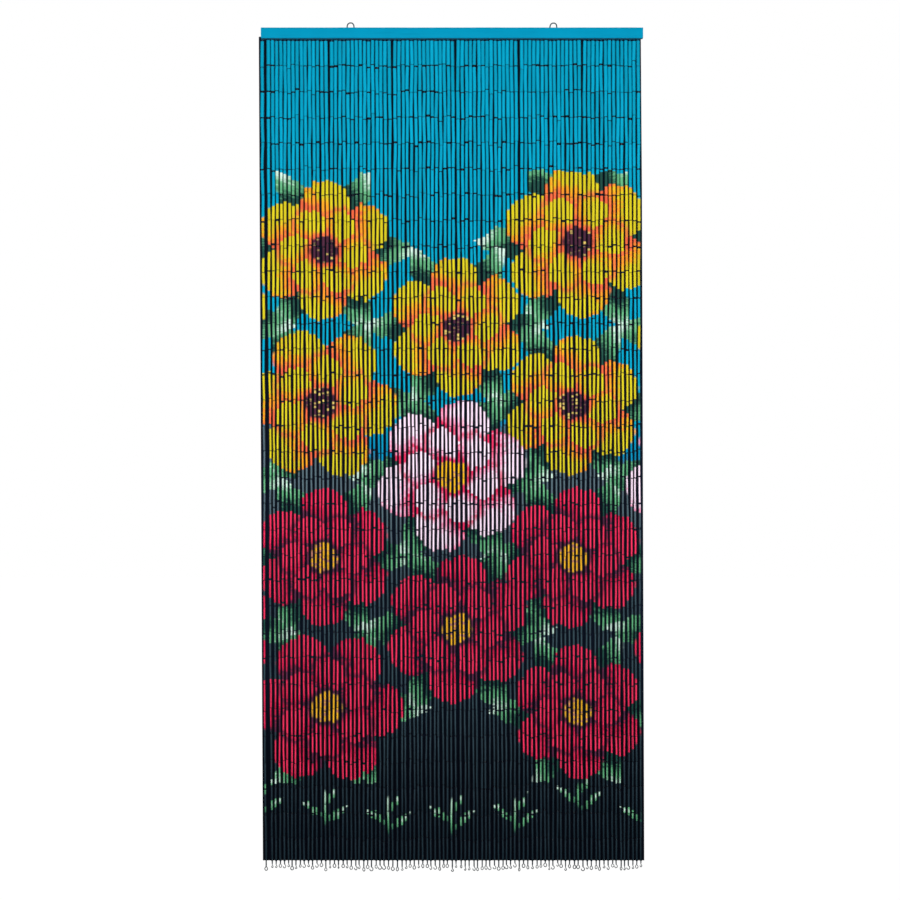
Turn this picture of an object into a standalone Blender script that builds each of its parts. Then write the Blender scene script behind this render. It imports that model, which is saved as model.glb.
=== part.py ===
# Bead curtain: a painted wooden bar that hangs from two wire loops, and ninety strands of bamboo beads.
# Metres, +Z up. The front of the curtain faces -Y.
# The origin is midway between the two loops, at the inside of their tops, where a pair of hooks carries them.
# Each strand is one tapering four-sided solid along the line in which its beads hang, with the wire end below
# its last bead. The strands of a group are joined by the strip of staples under the bar.

import math
import random

import bmesh
import bpy
from mathutils import Vector

# Bar
BAR_LENGTH = 0.900
BAR_HEIGHT = 0.0248
BAR_DEPTH = 0.020
BAR_EDGE_RADIUS = 0.0022
BAR_EDGE_SEGMENTS = 2

# Wire loops on top of the bar
LOOP_SPACING = 0.478
LOOP_WIRE = 0.0024
LOOP_WIDTH = 0.0188
LOOP_INNER_HEIGHT = 0.0112
LOOP_LEG_DEPTH = 0.009
LOOP_ARC_STEPS = 12
LOOP_BEVEL_RESOLUTION = 2
HOLE_SIDES = 16

# Strands
STRAND_COUNT = 90
STRAND_PITCH = 0.00965
FIRST_STRAND_X = -0.447
GROUP_SIZE = 15
GROUP_GAP = 0.0045
BEADS_PER_STRAND = 32
BEADS_PER_SECTION = 4
BEAD_WIDTH_TOP = 0.0082
BEAD_WIDTH_BOTTOM = 0.0046
BEAD_WIDTH_FADE = 0.40
STRAND_END_Z = -1.9830
STRAND_END_SPREAD = 0.005
LEAN_LEFT = 0.0082
LEAN_RIGHT = 0.0070
SWAY_TOP = 0.95
SWAY_BOTTOM = 0.60
SWAY_DEEP = 0.0010
STRAND_SEED = 90

# Wire ends below the strands
END_WIRE_WIDTH = 0.0020
END_WIRE_LENGTH = 0.010
END_WIRE_SWING = 0.0020
STEP_LENGTH = 0.0002

# Strip of staples between the bar and the beads
STRIP_HEIGHT = 0.0034
STRIP_DEPTH = 0.0050
STRIP_OVERHANG = 0.0040
STRIP_BITE = 0.0012

# Clearance between pieces that touch on the real curtain
TOUCH_GAP = 0.0003

BAR_TOP_Z = -LOOP_INNER_HEIGHT
BAR_BOTTOM_Z = BAR_TOP_Z - BAR_HEIGHT
STRIP_TOP_Z = BAR_BOTTOM_Z - TOUCH_GAP
STRAND_TOP_Z = STRIP_TOP_Z - STRIP_HEIGHT
BEAD_PITCH = (STRAND_TOP_Z - STRAND_END_Z) / BEADS_PER_STRAND
SECTION_COUNT = BEADS_PER_STRAND // BEADS_PER_SECTION
# A four-sided bevel is measured to its corners, a bead's width to its flats.
CORNER_SHARE = math.sqrt(0.5)
MERGE_DISTANCE = 0.00001

TURQUOISE = (0.004, 0.32, 0.54, 1.0)
INK = (0.010, 0.020, 0.028, 1.0)
STEEL = (0.42, 0.45, 0.46, 1.0)


def clear_scene():
    for old in list(bpy.data.objects):
        bpy.data.objects.remove(old, do_unlink=True)


def new_collection(name):
    collection = bpy.data.collections.new(name)
    bpy.context.scene.collection.children.link(collection)
    return collection


def move_to(obj, collection):
    for holder in list(obj.users_collection):
        holder.objects.unlink(obj)
    collection.objects.link(obj)


def make_material(name, colour, roughness, metallic=0.0):
    material = bpy.data.materials.new(name)
    material.use_nodes = True
    shader = material.node_tree.nodes["Principled BSDF"]
    shader.inputs["Base Color"].default_value = colour
    shader.inputs["Roughness"].default_value = roughness
    shader.inputs["Metallic"].default_value = metallic
    material.diffuse_color = colour
    return material


def make_box(name, size, centre, collection):
    bpy.ops.mesh.primitive_cube_add(size=1.0, location=centre)
    box = bpy.context.object
    box.name = name
    for vertex in box.data.vertices:
        vertex.co = Vector(a * b for a, b in zip(vertex.co, size))
    move_to(box, collection)
    return box


def hide_cutter(cutter):
    cutter.hide_render = True
    cutter.display_type = "WIRE"


def add_boolean(obj, other, operation):
    modifier = obj.modifiers.new(f"{operation.title()} {other.name}", "BOOLEAN")
    modifier.operation = operation
    modifier.object = other
    hide_cutter(other)


def mesh_from_curve(curve_object, collection):
    """The curve as a mesh object with its caps welded, in the curve's place."""
    graph = bpy.context.evaluated_depsgraph_get()
    mesh = bpy.data.meshes.new_from_object(curve_object.evaluated_get(graph))
    work = bmesh.new()
    work.from_mesh(mesh)
    bmesh.ops.remove_doubles(work, verts=work.verts, dist=MERGE_DISTANCE)
    bmesh.ops.recalc_face_normals(work, faces=work.faces)
    work.to_mesh(mesh)
    work.free()
    name = curve_object.name
    solid = bpy.data.objects.new(name + "_mesh", mesh)
    solid.matrix_world = curve_object.matrix_world
    collection.objects.link(solid)
    bpy.data.objects.remove(curve_object, do_unlink=True)
    return solid


def make_wire_curve(name, lines, resolution, collection):
    """A curve with one spline for each line. A line is a list of (point, radius, tilt)."""
    curve = bpy.data.curves.new(name, "CURVE")
    curve.dimensions = "3D"
    curve.twist_mode = "MINIMUM"
    curve.bevel_depth = 1.0
    curve.bevel_resolution = resolution
    curve.use_fill_caps = True
    for line in lines:
        spline = curve.splines.new("POLY")
        spline.points.add(len(line) - 1)
        for spot, (point, radius, tilt) in zip(spline.points, line):
            spot.co = (*point, 1.0)
            spot.radius = radius
            spot.tilt = tilt
    wire = bpy.data.objects.new(name, curve)
    collection.objects.link(wire)
    return wire


def loop_line():
    """Centre line of a loop, from one leg's end over the arch to the other's, about the bar's top centre."""
    radius = LOOP_WIRE / 2
    half_width = LOOP_WIDTH / 2 - radius
    rise = LOOP_INNER_HEIGHT + radius
    arch = [math.pi * step / LOOP_ARC_STEPS for step in range(LOOP_ARC_STEPS + 1)]
    points = [Vector((-half_width, 0, -LOOP_LEG_DEPTH))]
    points += [Vector((-half_width * math.cos(a), 0, rise * math.sin(a))) for a in arch]
    points += [Vector((half_width, 0, -LOOP_LEG_DEPTH))]
    return points


def make_loop(name, x, material, collection):
    line = [(point, LOOP_WIRE / 2, 0.0) for point in loop_line()]
    loop = make_wire_curve(name, [line], LOOP_BEVEL_RESOLUTION, collection)
    loop.location = (x, 0, BAR_TOP_Z)
    loop.data.materials.append(material)
    return loop


def make_leg_hole(x, cutters):
    """Cutter for the hole in the bar's top that takes one leg of a loop."""
    depth = LOOP_LEG_DEPTH + TOUCH_GAP
    bpy.ops.mesh.primitive_cylinder_add(
        vertices=HOLE_SIDES,
        radius=LOOP_WIRE / 2 + TOUCH_GAP,
        depth=2 * depth,
        location=(x, 0, BAR_TOP_Z),
    )
    hole = bpy.context.object
    hole.name = "leg_hole"
    move_to(hole, cutters)
    return hole


def make_bar(material, collection, cutters):
    centre_z = BAR_TOP_Z - BAR_HEIGHT / 2
    bar = make_box("bar", (BAR_LENGTH, BAR_DEPTH, BAR_HEIGHT), (0, 0, centre_z), collection)
    edges = bar.modifiers.new("Eased edges", "BEVEL")
    edges.width = BAR_EDGE_RADIUS
    edges.segments = BAR_EDGE_SEGMENTS
    edges.limit_method = "NONE"
    leg_x = LOOP_WIDTH / 2 - LOOP_WIRE / 2
    for side in (-1, 1):
        for leg in (-1, 1):
            add_boolean(bar, make_leg_hole(side * LOOP_SPACING / 2 + leg * leg_x, cutters), "DIFFERENCE")
    bar.data.materials.append(material)
    return bar


def strand_x(index):
    """Place of a strand under the bar. A wider gap follows the first strand and each fifteenth after it."""
    wide_gaps = math.ceil(index / GROUP_SIZE)
    return FIRST_STRAND_X + index * STRAND_PITCH + wide_gaps * GROUP_GAP


def bead_width(share):
    """Bead width at a share of the strand's length: the canes taper from top to bottom."""
    fade = math.exp(-share / BEAD_WIDTH_FADE)
    return BEAD_WIDTH_BOTTOM + (BEAD_WIDTH_TOP - BEAD_WIDTH_BOTTOM) * fade


def side_sway(share):
    """How far a strand may hang to one side, as a part of the room that it has beside its neighbour."""
    room = (STRAND_PITCH - bead_width(share) - 2 * TOUCH_GAP) / 2
    return room * (SWAY_TOP + (SWAY_BOTTOM - SWAY_TOP) * share)


def strand_line(index, chance):
    """One strand as (point, radius, tilt), from inside the strip down to its wire end."""
    top_x = strand_x(index)
    across = index / (STRAND_COUNT - 1)
    lean = LEAN_LEFT + (LEAN_RIGHT - LEAN_LEFT) * across
    end_z = STRAND_END_Z + chance.uniform(-1, 1) * STRAND_END_SPREAD
    tilt = math.pi / 4

    def spot(x, y, z, width):
        return (Vector((x, y, z)), width * CORNER_SHARE, tilt)

    width = bead_width(0)
    line = [spot(top_x, 0, STRAND_TOP_Z + STRIP_BITE, width)]
    for section in range(1, SECTION_COUNT + 1):
        share = section / SECTION_COUNT
        width = bead_width(share)
        z = STRAND_TOP_Z - section * BEADS_PER_SECTION * BEAD_PITCH
        if section == SECTION_COUNT:
            z = end_z
        x = top_x + lean * share + chance.uniform(-1, 1) * side_sway(share)
        y = chance.uniform(-1, 1) * SWAY_DEEP
        if section == 1:
            # The first bead hangs plumb below its staple, so that the strand's flats face front.
            line.append(spot(top_x, 0, STRAND_TOP_Z - BEAD_PITCH, bead_width(share / BEADS_PER_SECTION)))
        line.append(spot(x, y, z, width))
    swing = chance.uniform(-1, 1) * END_WIRE_SWING
    line.append(spot(x, y, end_z - STEP_LENGTH, END_WIRE_WIDTH))
    line.append(spot(x + swing, y, end_z - END_WIRE_LENGTH, END_WIRE_WIDTH))
    return line


def group_of(index):
    """Group that a strand hangs in: the first strand hangs with the first fifteen."""
    return max(0, math.ceil(index / GROUP_SIZE) - 1)


def make_strands(material, collection, cutters):
    """One node for each group of strands, joined by the strip of staples at their tops."""
    chance = random.Random(STRAND_SEED)
    groups = {}
    for index in range(STRAND_COUNT):
        groups.setdefault(group_of(index), []).append((strand_x(index), strand_line(index, chance)))
    for number, strands in sorted(groups.items()):
        name = f"strands_{number + 1}"
        left = strands[0][0] - STRIP_OVERHANG
        right = strands[-1][0] + STRIP_OVERHANG
        size = (right - left, STRIP_DEPTH, STRIP_HEIGHT)
        centre = ((left + right) / 2, 0, STRIP_TOP_Z - STRIP_HEIGHT / 2)
        strip = make_box(name, size, centre, collection)
        curve = make_wire_curve(name + "_lines", [line for _, line in strands], 0, cutters)
        add_boolean(strip, mesh_from_curve(curve, cutters), "UNION")
        strip.data.materials.append(material)


def main():
    clear_scene()
    collection = new_collection("bead_curtain")
    cutters = new_collection("cutters")
    paint = make_material("bar_paint", TURQUOISE, 0.45)
    steel = make_material("loop_steel", STEEL, 0.35, 0.9)
    bead_paint = make_material("bead_paint", INK, 0.5)
    make_bar(paint, collection, cutters)
    make_loop("loop_left", -LOOP_SPACING / 2, steel, collection)
    make_loop("loop_right", LOOP_SPACING / 2, steel, collection)
    make_strands(bead_paint, collection, cutters)


main()
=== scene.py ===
# Painted bead curtain: a turquoise bar on two wire loops, ninety strands of painted canes on wire.
# Metres, +Z up, the painted front faces -Y. The origin is midway between the loops.
import math
import random

import bpy
import numpy as np
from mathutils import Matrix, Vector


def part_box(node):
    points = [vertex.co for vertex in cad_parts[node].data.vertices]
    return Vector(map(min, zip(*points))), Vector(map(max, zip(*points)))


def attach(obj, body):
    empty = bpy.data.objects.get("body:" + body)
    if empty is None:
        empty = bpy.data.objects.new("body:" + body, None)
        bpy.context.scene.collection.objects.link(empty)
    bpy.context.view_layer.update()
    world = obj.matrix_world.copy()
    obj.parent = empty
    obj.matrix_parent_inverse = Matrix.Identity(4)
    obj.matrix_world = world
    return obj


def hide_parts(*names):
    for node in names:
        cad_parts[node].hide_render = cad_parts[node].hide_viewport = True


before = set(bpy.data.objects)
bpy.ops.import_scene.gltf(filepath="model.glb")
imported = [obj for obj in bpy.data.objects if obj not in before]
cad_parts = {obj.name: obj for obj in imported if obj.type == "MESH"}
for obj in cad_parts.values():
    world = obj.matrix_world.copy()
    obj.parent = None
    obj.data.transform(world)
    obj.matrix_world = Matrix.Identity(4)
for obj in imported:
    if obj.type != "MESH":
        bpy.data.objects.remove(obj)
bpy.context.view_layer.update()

print("frame loaded:", len(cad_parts), "nodes")

barLow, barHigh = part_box("bar")
groupCount = sum(name.startswith("strands_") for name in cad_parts)

strand = {
    "count": 90,
    "pitch": 0.00965,
    "firstX": -0.447,
    "groupSize": 15,  # strands between two wider gaps, and the first strand hangs alone
    "groupGap": 0.0045,
    "gapLean": 0.0014,  # how far the strands beside a gap hang into it
    "gapLeanReach": 3.0,  # strands
    "gapLeanWhole": 0.125,  # share of the way down by which they hang their whole way into it
    "beads": 32,
    "beadsPerSection": 4,
    "topDrop": 0.0037,  # from the bar's underside to the first beads
    "endZ": -1.983,
    "endSpread": 0.005,
    "leanLeft": 0.0082,
    "leanRight": 0.0070,
    "swayTop": 0.95,
    "swayBottom": 0.60,
    "swayDeep": 0.0010,
    "touchGap": 0.0003,
    "solidTop": 0.0082,  # width of the plain strand, which limits its sway
    "solidBottom": 0.0046,
    "fade": 0.40,
    "seed": 90,
}

bead = {
    "widthTop": 0.0088,
    "widthBottom": 0.0048,
    "widthSpread": 0.045,
    "widthLimits": (0.90, 1.09),
    "sides": 10,
    "hole": 0.60,  # share of the width
    "rim": 0.00035,
    "skin": 0.45,  # share of the width, outside which the cane's painted skin begins
    "modelLength": 0.060,  # of the one cane that all are copied from
    "modelWidth": 0.0064,
    "smooth": 40,  # degrees
    "gapLeast": 0.0005,
    "gapMean": 0.0014,
    "gapMost": 0.0050,
    "jointStray": 0.0021,  # how far a joint lies above or below its row
    "jointMemory": 0.55,
    "jointFirst": 0.35,  # share of the stray in the first row
    "jointOutliers": 0.05,  # share of the joints that lie further off
    "jointOutlierStray": 2.2,
    "strayTop": 0.00070,  # sideways stray of a joint under the bar and at the foot
    "strayFoot": 0.00028,
    "strayDeep": 0.0011,
    "clearance": 0.0001,
    "pushes": 60,  # rounds in which strands that would meet push each other apart
    "bow": 0.00022,
    "paintTurn": 9.0,  # degrees that the painted side strays from the front
    "paintSlip": 0.0030,  # how far a strand's picture has slid from its neighbours'
    "paintSlipBead": 0.0013,
    "tone": (0.88, 1.08),  # darkest and palest bead
    # painted shade on the beads just under the bar
    "shadeUnderBar": -0.06,
    "toneFoot": 0.08,
    "acrossPaint": 0.15,  # how much of the picture's change across one bead its round front takes
    "paintEdge": (0.09, 0.69),  # how far from the side the paint ends under the bar and at the foot
    "sideFilm": (0.28, 0.62),  # share of the paint that drifts round to the sides, low down and at the top
    "firstDrop": (0.0001, 0.0025),  # of the first beads' tops below their joint
    "footZ": -1.9740,  # where the last canes end and bare wire hangs out
    "footSpread": 0.0010,
    "seed": 4,
}


def deselectAll():
    if bpy.context.mode != "OBJECT":
        bpy.ops.object.mode_set(mode="OBJECT")
    bpy.ops.object.select_all(action="DESELECT")


def pick(piece):
    deselectAll()
    piece.select_set(True)
    bpy.context.view_layer.objects.active = piece


def settle(piece):
    # place, turn and size go into the mesh, so the object sits at the origin
    pick(piece)
    bpy.ops.object.transform_apply(location=True, rotation=True, scale=True)


def dress(piece, name, smooth, material, slotName, *nodes):
    # smooth is the sharpest angle in degrees that is still shaded round
    pick(piece)
    bpy.ops.object.shade_smooth_by_angle(angle=math.radians(smooth))
    piece.name = name
    piece.data.name = name
    piece.data.materials.clear()
    for coat in material if isinstance(material, list) else [material]:
        piece.data.materials.append(coat)
    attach(piece, "root")
    if nodes:
        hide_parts(*nodes)
    return piece


# Node helpers: a value is a number or another node's output

def plug(tree, target, value):
    if isinstance(value, bpy.types.NodeSocket):
        tree.links.new(value, target)
    else:
        target.default_value = value


def addNode(tree, kind, values, **settings):
    # values go by socket name or number
    step = tree.nodes.new("ShaderNode" + kind)
    for name, setting in settings.items():
        setattr(step, name, setting)
    for socket, value in values.items():
        plug(tree, step.inputs[socket], value)
    return step.outputs


def calc(tree, operation, *values):
    return addNode(tree, "Math", dict(enumerate(values)), operation=operation)[0]


def times(tree, first, second):
    return calc(tree, "MULTIPLY", first, second)


def plus(tree, first, second):
    return calc(tree, "ADD", first, second)


def minus(tree, first, second):
    return calc(tree, "SUBTRACT", first, second)


def ease(tree, value, low, high):
    # 0 below low, 1 above high, smooth between
    limits = {"Value": value, "From Min": low, "From Max": high}
    return addNode(tree, "MapRange", limits, interpolation_type="SMOOTHSTEP")["Result"]


def spread(tree, value, low, high):
    # 0 to 1 becomes low to high
    return addNode(tree, "MapRange", {"Value": value, "To Min": low, "To Max": high})["Result"]


def blend(tree, share, first, second, kind="MIX"):
    return addNode(tree, "Mix", {0: share, 6: first, 7: second}, data_type="RGBA", blend_type=kind)[2]


def point(tree, x=0.0, y=0.0, z=0.0):
    return addNode(tree, "CombineXYZ", {0: x, 1: y, 2: z})[0]


def cloud(tree, place, scale=1.0, detail=2.0, rough=0.5):
    values = {"Vector": place, "Scale": scale, "Detail": detail, "Roughness": rough}
    return addNode(tree, "TexNoise", values)["Fac"]


def attribute(tree, name):
    return addNode(tree, "Attribute", {}, attribute_name=name)["Fac"]


def objectPlace(tree):
    return addNode(tree, "TexCoord", {})["Object"]


def axesOf(tree, place):
    return addNode(tree, "SeparateXYZ", {0: place})


def stretched(tree, place, x, y, z):
    # a place scaled on each axis, for marks that run one way
    axes = zip(axesOf(tree, place), (x, y, z))
    return point(tree, *[times(tree, value, scale) for value, scale in axes])


def bumpOf(tree, height, strength, distance):
    values = {"Height": height, "Strength": strength, "Distance": distance}
    return addNode(tree, "Bump", values)["Normal"]


def tint(red, green, blue):
    # a screen colour of 0 to 255 as the linear colour that a node takes
    def linear(value):
        value /= 255
        return value / 12.92 if value < 0.04045 else ((value + 0.055) / 1.055) ** 2.4
    return (linear(red), linear(green), linear(blue), 1.0)


def tints(colours):
    return [tint(*colour) for colour in colours]


def newMaterial(name):
    material = bpy.data.materials.new(name)
    material.use_nodes = True
    tree = material.node_tree
    return material, tree, tree.nodes["Principled BSDF"]


def surface(tree, shader, colour, rough, specular=0.5, metallic=0.0, normal=None):
    plug(tree, shader.inputs["Base Color"], colour)
    plug(tree, shader.inputs["Roughness"], rough)
    shader.inputs["Specular IOR Level"].default_value = specular
    shader.inputs["Metallic"].default_value = metallic
    if normal is not None:
        plug(tree, shader.inputs["Normal"], normal)


def newGroup(name, given, made):
    # given is the names of its number inputs, and made its outputs' names and kinds
    tree = bpy.data.node_groups.new(name, "ShaderNodeTree")
    for socket in given:
        tree.interface.new_socket(socket, in_out="INPUT", socket_type="NodeSocketFloat")
    for socket, kind in made.items():
        tree.interface.new_socket(socket, in_out="OUTPUT", socket_type="NodeSocket" + kind)
    return tree, tree.nodes.new("NodeGroupInput").outputs, tree.nodes.new("NodeGroupOutput").inputs


# The flower print: a plain half-drop repeat of round six-petal blossoms with leaves between them

panel = {
    "columnStep": 0.600,  # between blossoms of one row
    "rowStep": 0.360,
    "sideColumns": (0.300, -0.530),  # a blossom of each of the two meshed lattices
    "middleColumn": (0.000, -0.710),
    "firstRow": -0.50,
    "lastRow": -1.64,
    "radius": 0.172,
    "sizeSpread": 0.08,
    "petals": 6,
    # rings as shares of the radius: reach, how deep the valleys between petals are, and their sharpness
    "leafRing": (1.36, 0.72, 1.0),
    "outerRing": (1.0, 0.30, 2.6),
    "innerRing": (0.64, 0.28, 2.4),
    "stray": 0.016,
    "pinkFrom": -0.98,
    "redFrom": -1.16,
    "groundTurn": -0.985,  # height where the sky ground gives way to the dark one
    "groundWave": 0.045,
    "groundWaveLength": 0.62,
    "sprigStep": 0.150,
    "sprigZ": -1.900,
    "sprigStray": 0.03,
    # height of each leaf's foot on the stem, its angle in degrees, length and width
    "sprigLeaves": [(0.0, 90, 0.105, 0.010), (0.020, 38, 0.070, 0.020), (0.034, 146, 0.068, 0.019),
                    (0.058, 58, 0.056, 0.016)],
}

paint = {
    "sky": (0, 159, 194),
    "skyDeep": (0, 134, 178),
    "dusk": (86, 106, 116),
    "duskMid": (54, 75, 85),
    "duskDeep": (28, 45, 54),
    # yellow, pink and red blossoms: lit face, turn of the petal, shade under the next petal
    "light": [(214, 199, 34), (255, 230, 250), (246, 52, 96)],
    "shade": [(246, 158, 36), (255, 158, 196), (218, 32, 80)],
    "deep": [(236, 104, 66), (230, 48, 96), (92, 40, 70)],
    "eye": [(74, 38, 58), (248, 188, 30), (246, 184, 40)],
    "eyeDot": [(222, 196, 104), (206, 140, 104), (200, 132, 112)],
    "leaf": (98, 176, 126),
    "leafLight": (206, 236, 222),
    "leafDeep": (30, 74, 66),
    "ground": (8, 14, 24),
    "groundWarm": (14, 16, 22),
    "cane": (24, 25, 27),
    "caneDark": (12, 13, 16),
}


def dye(name):
    return tint(*paint[name])


def colourByKind(tree, kind, name):
    # kind is 0, 1 or 2, for the yellow, pink and red blossoms
    step = tree.nodes.new("ShaderNodeValToRGB")
    step.color_ramp.interpolation = "CONSTANT"
    stops = step.color_ramp.elements
    yellow, pink, red = tints(paint[name])
    stops[0].color = yellow
    stops[1].position, stops[1].color = 0.75, red
    stops.new(0.25).color = pink
    plug(tree, step.inputs[0], times(tree, kind, 0.5))
    return step.outputs["Color"]


def petalRing(tree, radius, turn, reach, valley, power):
    # one ring of petals about a blossom's middle: how far inside its outline, the place
    # across a petal and the petal's number
    share = times(tree, turn, panel["petals"] / (2 * math.pi))
    across = minus(tree, calc(tree, "FRACT", share), 0.5)
    bend = times(tree, calc(tree, "ABSOLUTE", across), 2.0)
    dip = times(tree, calc(tree, "POWER", bend, power), valley)
    edge = times(tree, minus(tree, 1.0, dip), reach)
    inside = minus(tree, edge, radius)
    number = calc(tree, "FLOOR", calc(tree, "FLOORED_MODULO", share, float(panel["petals"])))
    return inside, across, number


def blossomGroup():
    tree, given, result = newGroup("blossom", ["across", "up", "number", "kind"],
                                   {"cover": "Float", "colour": "Color", "leafCover": "Float",
                                    "leafColour": "Color"})
    across, up, number, kind = [given[i] for i in range(4)]

    square = plus(tree, times(tree, across, across), times(tree, up, up))
    sizeShare = calc(tree, "FRACT", times(tree, number, 7.3))
    ragged = cloud(tree, point(tree, across, up, number), 34.0, 3.0)
    size = spread(tree, sizeShare, 1 - panel["sizeSpread"], 1 + panel["sizeSpread"])
    size = times(tree, size, panel["radius"])
    radius = calc(tree, "DIVIDE", calc(tree, "SQRT", square), size)
    radius = plus(tree, radius, spread(tree, ragged, -0.03, 0.03))
    angle = calc(tree, "ARCTAN2", up, across)
    turned = plus(tree, angle, times(tree, number, 2.4))

    # leaves point into the gaps between blossoms, dark at the foot and pale at the tip
    leafTurn = plus(tree, angle, math.pi / panel["petals"])
    leafIn, leafAcross, leafNumber = petalRing(tree, radius, leafTurn, *panel["leafRing"])
    plug(tree, result["leafCover"], ease(tree, leafIn, 0.0, 0.02))
    leafVein = cloud(tree, point(tree, times(tree, leafAcross, 30.0), radius, leafNumber), 2.0, 2.0)
    leafVein = spread(tree, leafVein, -0.22, 0.22)
    leafRise = plus(tree, radius, leafVein)
    leafSide = ease(tree, plus(tree, leafAcross, leafVein), -0.02, 0.05)
    leafRise = minus(tree, leafRise, times(tree, leafSide, 0.14))
    leafBody = blend(tree, ease(tree, leafRise, 0.80, 1.0), dye("leafDeep"), dye("leaf"))
    leafTip = ease(tree, leafRise, 1.02, 1.22)
    plug(tree, result["leafColour"], blend(tree, leafTip, leafBody, dye("leafLight")))

    # outer petals, then a shorter ring turned half a petal
    outerIn, outerAcross, outerNumber = petalRing(tree, radius, turned, *panel["outerRing"])
    innerTurn = plus(tree, turned, math.pi / panel["petals"])
    innerIn, innerAcross, innerNumber = petalRing(tree, radius, innerTurn, *panel["innerRing"])
    inner = ease(tree, innerIn, 0.0, 0.02)

    def choose(first, second):
        return plus(tree, first, times(tree, inner, minus(tree, second, first)))

    petalAcross = choose(outerAcross, innerAcross)
    petalNumber = choose(outerNumber, plus(tree, innerNumber, 11.0))
    petalIn = choose(outerIn, innerIn)
    veinPlace = point(tree, times(tree, petalAcross, 22.0), times(tree, radius, 3.0),
                      plus(tree, petalNumber, times(tree, number, 7.0)))
    vein = spread(tree, cloud(tree, veinPlace, 1.0, 3.0, 0.6), -0.42, 0.42)
    # each petal turns from its lit edge to the shade of the petal that lies over it
    turn = plus(tree, times(tree, plus(tree, petalAcross, 0.5), 0.95), vein)
    rim = times(tree, ease(tree, petalIn, 0.10, 0.0), 0.22)
    heart = times(tree, ease(tree, radius, choose(0.86, 0.44), choose(0.62, 0.20)), 0.42)
    turn = plus(tree, plus(tree, turn, rim), heart)
    body = blend(tree, ease(tree, turn, 0.60, 0.94), colourByKind(tree, kind, "light"),
                 colourByKind(tree, kind, "shade"))
    cast = times(tree, ease(tree, innerIn, -0.09, -0.01), minus(tree, 1.0, inner))
    shaded = calc(tree, "MAXIMUM", ease(tree, turn, 0.90, 1.15), times(tree, cast, 0.8))
    body = blend(tree, shaded, body, colourByKind(tree, kind, "deep"))

    # dotted middle
    dots = {"Vector": point(tree, across, up, number), "Scale": 95.0, "Randomness": 0.55}
    dot = ease(tree, addNode(tree, "TexVoronoi", dots)["Distance"], 0.46, 0.26)
    eyeColour = blend(tree, dot, colourByKind(tree, kind, "eye"), colourByKind(tree, kind, "eyeDot"))
    body = blend(tree, ease(tree, radius, 0.29, 0.225), body, colourByKind(tree, kind, "deep"))
    plug(tree, result["colour"], blend(tree, ease(tree, radius, 0.215, 0.185), body, eyeColour))
    plug(tree, result["cover"], calc(tree, "MAXIMUM", ease(tree, outerIn, 0.0, 0.02), inner))
    return tree


def chanceAt(tree, *place):
    # a steady number from 0 to 1 for a place
    return addNode(tree, "TexWhiteNoise", {"Vector": point(tree, *place)})["Value"]


def placeBlossoms(tree, group, x, z, start):
    # one lattice: the nearest blossom's own coordinates feed the group
    def nearest(value, first, step):
        return calc(tree, "ROUND", calc(tree, "DIVIDE", minus(tree, value, first), step))

    column = nearest(x, start[0], panel["columnStep"])
    row = nearest(z, start[1], panel["rowStep"])
    middleX = calc(tree, "MULTIPLY_ADD", column, panel["columnStep"], start[0])
    middleZ = calc(tree, "MULTIPLY_ADD", row, panel["rowStep"], start[1])
    number = chanceAt(tree, plus(tree, column, start[0]), row, 0.5)
    shiftX = spread(tree, number, -panel["stray"], panel["stray"])
    upShare = calc(tree, "FRACT", times(tree, number, 5.1))
    shiftZ = spread(tree, upShare, -panel["stray"], panel["stray"])
    kind = plus(tree, calc(tree, "LESS_THAN", middleZ, panel["pinkFrom"]),
                calc(tree, "LESS_THAN", middleZ, panel["redFrom"]))
    own = {"across": minus(tree, minus(tree, x, middleX), shiftX),
           "up": minus(tree, minus(tree, z, middleZ), shiftZ), "number": number, "kind": kind}
    blossom = addNode(tree, "Group", own, node_tree=group)
    here = times(tree, calc(tree, "LESS_THAN", middleZ, panel["firstRow"]),
                 calc(tree, "GREATER_THAN", middleZ, panel["lastRow"]))
    flower = times(tree, blossom["cover"], here)
    leaf = times(tree, blossom["leafCover"], here)
    return flower, blossom["colour"], leaf, blossom["leafColour"]


def sprigLeaf(tree, x, z, angle, length, width):
    # one pointed leaf from its foot: its cover, how far a point is from its midrib and along it
    cosine, sine = math.cos(math.radians(angle)), math.sin(math.radians(angle))
    along = calc(tree, "MULTIPLY_ADD", x, cosine, times(tree, z, sine))
    across = calc(tree, "MULTIPLY_ADD", x, -sine, times(tree, z, cosine))
    share = calc(tree, "DIVIDE", along, length)
    swell = times(tree, times(tree, share, minus(tree, 1.0, share)), 4.0)
    swell = times(tree, calc(tree, "MAXIMUM", swell, 0.0), width / 2)
    rib = calc(tree, "ABSOLUTE", across)
    return ease(tree, minus(tree, swell, rib), 0.0, 0.002), rib, share


def paintSprigs(tree, colour, x, z):
    # a row of small leaf sprigs along the foot of the panel
    cell = calc(tree, "ROUND", calc(tree, "DIVIDE", x, panel["sprigStep"]))
    localX = minus(tree, x, times(tree, cell, panel["sprigStep"]))
    lift = spread(tree, chanceAt(tree, cell, 3.0, 0.0), -panel["sprigStray"], panel["sprigStray"])
    localZ = minus(tree, minus(tree, z, panel["sprigZ"]), lift)
    for foot, angle, length, width in panel["sprigLeaves"]:
        cover, rib, share = sprigLeaf(tree, localX, minus(tree, localZ, foot), angle, length, width)
        glow = times(tree, ease(tree, rib, width * 0.30, 0.0), ease(tree, share, 0.30, 0.80))
        leafColour = blend(tree, glow, dye("leaf"), dye("leafLight"))
        leafColour = blend(tree, ease(tree, share, 0.45, 0.0), leafColour, dye("leafDeep"))
        colour = blend(tree, cover, colour, leafColour)
    return colour


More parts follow.
